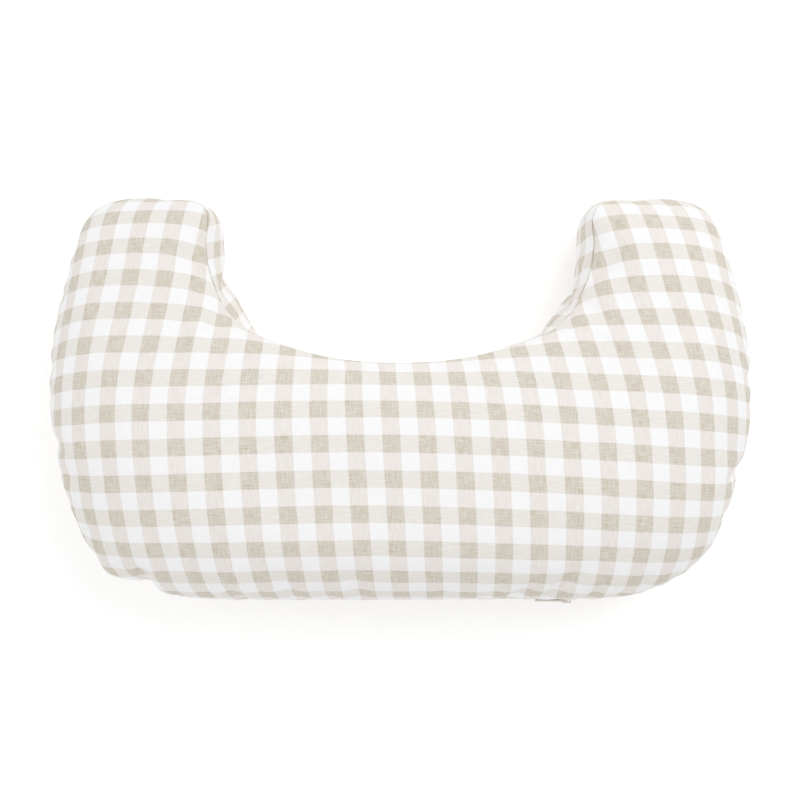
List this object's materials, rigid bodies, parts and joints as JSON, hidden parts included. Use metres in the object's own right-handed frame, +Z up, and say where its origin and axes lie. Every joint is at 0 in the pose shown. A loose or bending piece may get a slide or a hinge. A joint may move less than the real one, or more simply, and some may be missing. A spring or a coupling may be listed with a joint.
{
  "type": "nursing pillow",
  "caption": "Crescent nursing pillow in a gingham cotton cover that zips open along the belly seam, over a sewn inner pillow, with a notch that fits round the waist.",
  "frame": {"origin": "on the surface that the pillow lies on, under the centre of the whole object's box", "axes": "+Z up out of the front panel, +Y towards the open side of the waist notch, +X towards the end where the zip closes"},
  "size_m": [0.6596, 0.3827, 0.174],
  "materials": {
    "gingham_cotton": "matte woven gingham check, natural beige on white",
    "liner_cotton": "plain white cotton",
    "polyester_fibre": "matted white polyester fibre",
    "zip_tape": "off-white woven tape",
    "zip_coil": "off-white nylon coil",
    "zip_metal": "off-white enamel on die-cast metal",
    "label_satin": "white satin ribbon, blank"
  },
  "bodies": {
    "pillow": {"cover_front_panel": "gingham_cotton", "cover_back_panel": "gingham_cotton", "cover_notch_gusset": "gingham_cotton", "care_label": "label_satin", "liner_front_panel": "liner_cotton", "liner_back_panel": "liner_cotton", "liner_notch_gusset": "liner_cotton", "fibre_filling": "polyester_fibre", "zip_tape_upper": "zip_tape", "zip_tape_lower": "zip_tape", "zip_coil_upper": "zip_coil", "zip_coil_lower": "zip_coil", "zip_top_stop_upper": "zip_metal", "zip_top_stop_lower": "zip_metal", "zip_bottom_stop": "zip_metal"},
    "slider": {"zip_slider": "zip_metal"},
    "pull": {"zip_pull": "zip_metal"}
  },
  "joints": [
    {"name": "zip_slide", "type": "slide", "parent": "pillow", "child": "slider", "axis": [-1, 0, 0], "range_m": [0, 0.312]},
    {"name": "pull_hinge", "type": "hinge", "parent": "slider", "child": "pull", "pos_m": [0.157, -0.18895, 0.082], "axis": [0, 0, 1], "range_deg": [0, 170]}
  ]
}
